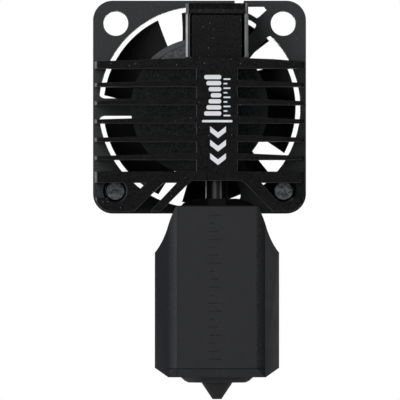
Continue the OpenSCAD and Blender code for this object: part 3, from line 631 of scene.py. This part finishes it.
# ---------------------------------------------------------------- new pieces
def mesh_piece(name, bm, mat, body, smooth=True, sharp=None):
    me = bpy.data.meshes.new(name)
    bmesh.ops.recalc_face_normals(bm, faces=bm.faces)
    bm.to_mesh(me)
    bm.free()
    o = bpy.data.objects.new(name, me)
    bpy.context.scene.collection.objects.link(o)
    me.materials.append(mat)
    for p in me.polygons:
        p.use_smooth = smooth
    if sharp:
        me.set_sharp_from_angle(angle=math.radians(sharp))
    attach(o, body)
    return o


# the printed marks on the column: plain strokes, as thin pads of ink
def pad(bm, outline, y0, y1, hole=None):
    """A closed pad between two depths; outline (and hole) in x, z mm."""
    def loop(pts, y):
        return [bm.verts.new((x * MM, y * MM, z * MM)) for x, z in pts]
    f, b = loop(outline, y0), loop(outline, y1)
    n = len(outline)
    for i in range(n):
        j = (i + 1) % n
        bm.faces.new((f[i], f[j], b[j], b[i]))
    if hole is None:
        bm.faces.new(f)
        bm.faces.new(b[::-1])
    else:
        hf, hb = loop(hole, y0), loop(hole, y1)
        for i in range(n):
            j = (i + 1) % n
            bm.faces.new((hf[j], hf[i], hb[i], hb[j]))
            bm.faces.new((f[i], f[j], hf[j], hf[i]))
            bm.faces.new((b[j], b[i], hb[i], hb[j]))


def rounded(x0, z0, x1, z1, r, k=6):
    pts = []
    for cx, cz, a0 in ((x1 - r, z1 - r, 0), (x0 + r, z1 - r, 90), (x0 + r, z0 + r, 180), (x1 - r, z0 + r, 270)):
        for i in range(k + 1):
            a = math.radians(a0 + 90 * i / k)
            pts.append((cx + r * math.cos(a), cz + r * math.sin(a)))
    return pts


def circle(cx, cz, r, k=28):
    return [(cx + r * math.cos(2 * math.pi * i / k), cz + r * math.sin(2 * math.pi * i / k)) for i in range(k)]


front = N["heatsink"].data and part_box("heatsink")[0][1] / MM
bm = bmesh.new()
y0, y1 = front - 0.015, front + 0.004
# a stack of broad bars
for i in range(7):
    top = 38.575 - i * 0.7206
    inset = (0, 0.262, 0.524, 0.786, 0.524, 0.262, 0)[i]
    pad(bm, rounded(-1.521 + inset, top - 0.512, 0.504, top, 0.22), y0, y1)
# a short rule beside it
for i in range(9):
    top = 38.172 - i * 0.542
    pad(bm, rounded(0.766, top - 0.179, 1.599 if i % 2 == 0 else 1.242, top, 0.08), y0, y1)
# a line across
pad(bm, rounded(-1.783, 32.944, 1.838, 33.218, 0.12), y0, y1)
# three chevrons, pointing the way the filament runs
for i in range(3):
    z = 32.467 - i * 1.596
    mid, half, drop, t = 0.123, 0.941, 0.738, 0.667
    pad(bm, [(mid - half, z), (mid, z - drop), (mid + half, z), (mid + half, z - t), (mid, z - drop - t), (mid - half, z - t)], y0, y1)
mesh_piece("column_marks", bm, print_white(), "hotend", smooth=False)


# a faint row of moulded ticks down the front of the sock
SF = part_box("silicone_sock")[0][1] / MM
bm = bmesh.new()
for i in range(19):
    z = 21.9 - i * 0.95
    w = (0.95, 0.45, 0.7)[i % 3]
    pad(bm, rounded(-0.55 - 0.4, z - 0.075, -0.95 + 1.6 * w, z + 0.075, 0.06, 3), SF - 0.02, SF + 0.01)
mesh_piece("sock_ticks", bm, tick_silicone(), "sock", smooth=False)


# the impeller, with smooth swept blades and a rounded hub



def fan_point(u, v, w):
    """Fan frame of reference: u right, v up as seen from the front, w towards the front."""
    return ((FAN.x + u) * MM, (FAN.y - w) * MM, (FAN.z + v) * MM)


def lathe(bm, profile, k=96):
    """Closed ring of (radius, w) turned about the fan's axis; radius 0 closes to a point."""
    rows = []
    for r, w in profile:
        if r < 1e-6:
            rows.append([bm.verts.new(fan_point(0, 0, w))])
        else:
            rows.append([bm.verts.new(fan_point(r * math.cos(2 * math.pi * i / k), r * math.sin(2 * math.pi * i / k), w)) for i in range(k)])
    for a, b in zip(rows, rows[1:]):
        for i in range(k):
            j = (i + 1) % k
            if len(a) == 1:
                bm.faces.new((a[0], b[i], b[j]))
            elif len(b) == 1:
                bm.faces.new((a[i], a[j], b[0]))
            else:
                bm.faces.new((a[i], a[j], b[j], b[i]))


def blade_xyz(t, u, side):
    r = 7.8 + t * (fan_tip - 7.8)
    a = math.radians(115.5 + 2.3 * (1 - t) + u * (57.2 + 2.4 * (1 - t) ** 3))
    thick = (0.34 - 0.1 * t) * (0.35 + 0.65 * math.sin(math.pi * min(1, 0.08 + u * 0.92)))
    w = -2.55 - 6.2 * (u + 0.16 * math.sin(math.pi * u)) + side * thick - 0.05
    return r * math.cos(a), r * math.sin(a), w


lo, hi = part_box("impeller")
fan_tip = (hi[2] - lo[2]) / MM / 2 - 0.02
bm = bmesh.new()
hub = [(0, -9.3), (1.0, -9.3), (1.1, -9.4), (1.9, -9.4), (2.0, -9.28), (6.2, -9.28), (6.35, -9.4)]
hub += [(7.5, -9.4), (7.75, -9.35), (7.92, -9.2), (8.0, -8.95), (8.0, -2.62), (7.96, -2.48), (7.85, -2.4), (7.4, -2.4), (7.3, -2.45), (7.26, -2.6), (7.26, -8.6), (1.6, -8.6), (1.6, -8.0), (0.76, -8.0), (0.76, -9.1), (0, -9.1)]
lathe(bm, hub)
NT, NU, NS = 6, 28, 3
for k in range(5):
    rot = math.radians(72 * k)
    c, s = math.cos(rot), math.sin(rot)
    grid = {}
    for side in (1, -1):
        for i in range(NT + 1):
            for jj in range(NU + 1):
                x, y, w = blade_xyz(i / NT, jj / NU, side)
                grid[side, i, jj] = bm.verts.new(fan_point(x * c - y * s, x * s + y * c, w))
    for side in (1, -1):
        for i in range(NT):
            for jj in range(NU):
                bm.faces.new((grid[side, i, jj], grid[side, i, jj + 1], grid[side, i + 1, jj + 1], grid[side, i + 1, jj]))
    for jj in range(NU):
        for i in (0, NT):
            bm.faces.new((grid[1, i, jj], grid[1, i, jj + 1], grid[-1, i, jj + 1], grid[-1, i, jj]))
    for i in range(NT):
        for jj in (0, NU):
            bm.faces.new((grid[1, i, jj], grid[1, i + 1, jj], grid[-1, i + 1, jj], grid[-1, i, jj]))
wheel = mesh_piece("impeller_moulding", bm, MAT["impeller"], "fan_rotor", smooth=True, sharp=40)
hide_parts("impeller")


# ---------------------------------------------------------------- studio
world = bpy.data.worlds.new("studio")
bpy.context.scene.world = world
world.use_nodes = True
wt = world.node_tree
wt.nodes.clear()
wout = wt.nodes.new("ShaderNodeOutputWorld")
bg_seen = wt.nodes.new("ShaderNodeBackground")
bg_seen.inputs["Color"].default_value = (1, 1, 1, 1)
bg_seen.inputs["Strength"].default_value = 1.0
bg_lit = wt.nodes.new("ShaderNodeBackground")
bg_lit.inputs["Color"].default_value = (0.97, 0.99, 1.0, 1)
# the room as the part sees it: dark by the camera, panels to the sides, white behind
tc = wt.nodes.new("ShaderNodeTexCoord")
sx = wt.nodes.new("ShaderNodeSeparateXYZ")
wt.links.new(tc.outputs["Generated"], sx.inputs[0])
neg = wt.nodes.new("ShaderNodeMath")
neg.operation = "MULTIPLY"
neg.inputs[1].default_value = -1.0
wt.links.new(sx.outputs[1], neg.inputs[0])
at = wt.nodes.new("ShaderNodeMath")
at.operation = "ARCTAN2"
wt.links.new(sx.outputs[0], at.inputs[0])
wt.links.new(neg.outputs[0], at.inputs[1])
mr = wt.nodes.new("ShaderNodeMapRange")
mr.inputs["From Min"].default_value = -math.pi
mr.inputs["From Max"].default_value = math.pi
wt.links.new(at.outputs[0], mr.inputs["Value"])
ramp = wt.nodes.new("ShaderNodeValToRGB")
AZ = [(-180, 0.8), (-160, 0.5), (-140, 0.12), (-104, 0.12), (-98, 1.4), (-82, 1.4), (-74, 0.12), (-50, 0.07), (10, 0.06), (20, 0.03), (30, 0.20), (46, 0.20), (52, 0.04), (78, 0.06), (84, 0.4), (100, 0.4), (150, 0.6), (180, 0.8)]
cr = ramp.color_ramp
while len(cr.elements) < len(AZ):
    cr.elements.new(0.5)
for e, (a, v) in zip(cr.elements, AZ):
    e.position = (a + 180) / 360
for e, (a, v) in zip(cr.elements, AZ):
    e.position = (a + 180) / 360
    e.color = (v, v, v, 1)
wt.links.new(mr.outputs[0], ramp.inputs[0])
# dark overhead
up = wt.nodes.new("ShaderNodeMapRange")
up.inputs["From Min"].default_value = 0.35
up.inputs["From Max"].default_value = 0.80
up.inputs["To Min"].default_value = 1.0
up.inputs["To Max"].default_value = 0.25
wt.links.new(sx.outputs[2], up.inputs["Value"])
ml = wt.nodes.new("ShaderNodeMath")
ml.operation = "MULTIPLY"
wt.links.new(ramp.outputs[0], ml.inputs[0])
wt.links.new(up.outputs[0], ml.inputs[1])
wt.links.new(ml.outputs[0], bg_lit.inputs["Strength"])
lp = wt.nodes.new("ShaderNodeLightPath")
mx = wt.nodes.new("ShaderNodeMixShader")
wt.links.new(lp.outputs["Is Camera Ray"], mx.inputs[0])
wt.links.new(bg_lit.outputs[0], mx.inputs[1])
wt.links.new(bg_seen.outputs[0], mx.inputs[2])
wt.links.new(mx.outputs[0], wout.inputs[0])

# pale floor, well below the hanging nozzle
bm = bmesh.new()
bmesh.ops.create_grid(bm, x_segments=8, y_segments=8, size=1.2)
for v in bm.verts:
    v.co.z = -0.03
me = bpy.data.meshes.new("floor")
bm.to_mesh(me)
bm.free()
floor = bpy.data.objects.new("floor", me)
bpy.context.scene.collection.objects.link(floor)
ft = Tree("pale_floor")
diff = ft.add("ShaderNodeBsdfDiffuse")
diff.inputs["Color"].default_value = (0.45, 0.45, 0.45, 1)
emi = ft.add("ShaderNodeEmission")
emi.inputs["Color"].default_value = (1, 1, 1, 1)
flp = ft.add("ShaderNodeLightPath")
fmx = ft.add("ShaderNodeMixShader")
ft.link(flp.outputs["Is Camera Ray"], fmx.inputs[0])
ft.link(diff.outputs[0], fmx.inputs[1])
ft.link(emi.outputs[0], fmx.inputs[2])
# seen from below, the floor isn't there
geo = ft.add("ShaderNodeNewGeometry")
clear = ft.add("ShaderNodeBsdfTransparent")
fend = ft.add("ShaderNodeMixShader")
ft.link(geo.outputs["Backfacing"], fend.inputs[0])
ft.link(fmx.outputs[0], fend.inputs[1])
ft.link(clear.outputs[0], fend.inputs[2])
ft.link(fend.outputs[0], ft.out.inputs["Surface"])
floor.data.materials.append(ft.mat)


def area(name, loc, target, size, power, color=(1, 1, 1)):
    l = bpy.data.lights.new(name, "AREA")
    l.shape = "RECTANGLE"
    l.size, l.size_y = size
    l.energy = power
    l.color = color
    o = bpy.data.objects.new(name, l)
    o.location = loc
    o.rotation_mode = "QUATERNION"
    o.rotation_quaternion = (Vector(target) - Vector(loc)).to_track_quat("-Z", "Y")
    bpy.context.scene.collection.objects.link(o)
    return o


C = (-0.002, 0.0, 0.024)
area("key", (-0.30, -0.70, 0.10), C, (0.40, 0.85), 7.6)
area("fill", (0.45, -0.65, 0.04), C, (0.40, 0.85), 2.6)
area("rim_right", (0.45, 0.34, 0.04), C, (0.14, 0.55), 0.32)
area("back", (-0.16, 0.78, 0.16), C, (0.40, 0.40), 4.5)
area("back_low", (0.14, 0.75, -0.01), C, (0.40, 0.10), 1.2)
area("top", (0.0, 0.30, 0.80), C, (0.30, 0.30), 1.4)

cam = bpy.data.cameras.new("camera")
cam.type = "PERSP"
cam.sensor_width = 36.0
cam.lens = 1650.0
view_h = 47.64 * MM
dist = view_h * cam.lens / cam.sensor_width
co = bpy.data.objects.new("camera", cam)
co.location = ((FAN.x + 0.059) * MM, -dist, 23.713 * MM)
co.rotation_euler = (math.pi / 2, 0, 0)
cam.clip_start = 0.1
cam.clip_end = 10.0
bpy.context.scene.collection.objects.link(co)
bpy.context.scene.camera = co
bpy.context.scene.view_settings.view_transform = "Standard"
bpy.context.scene.view_settings.look = "None"
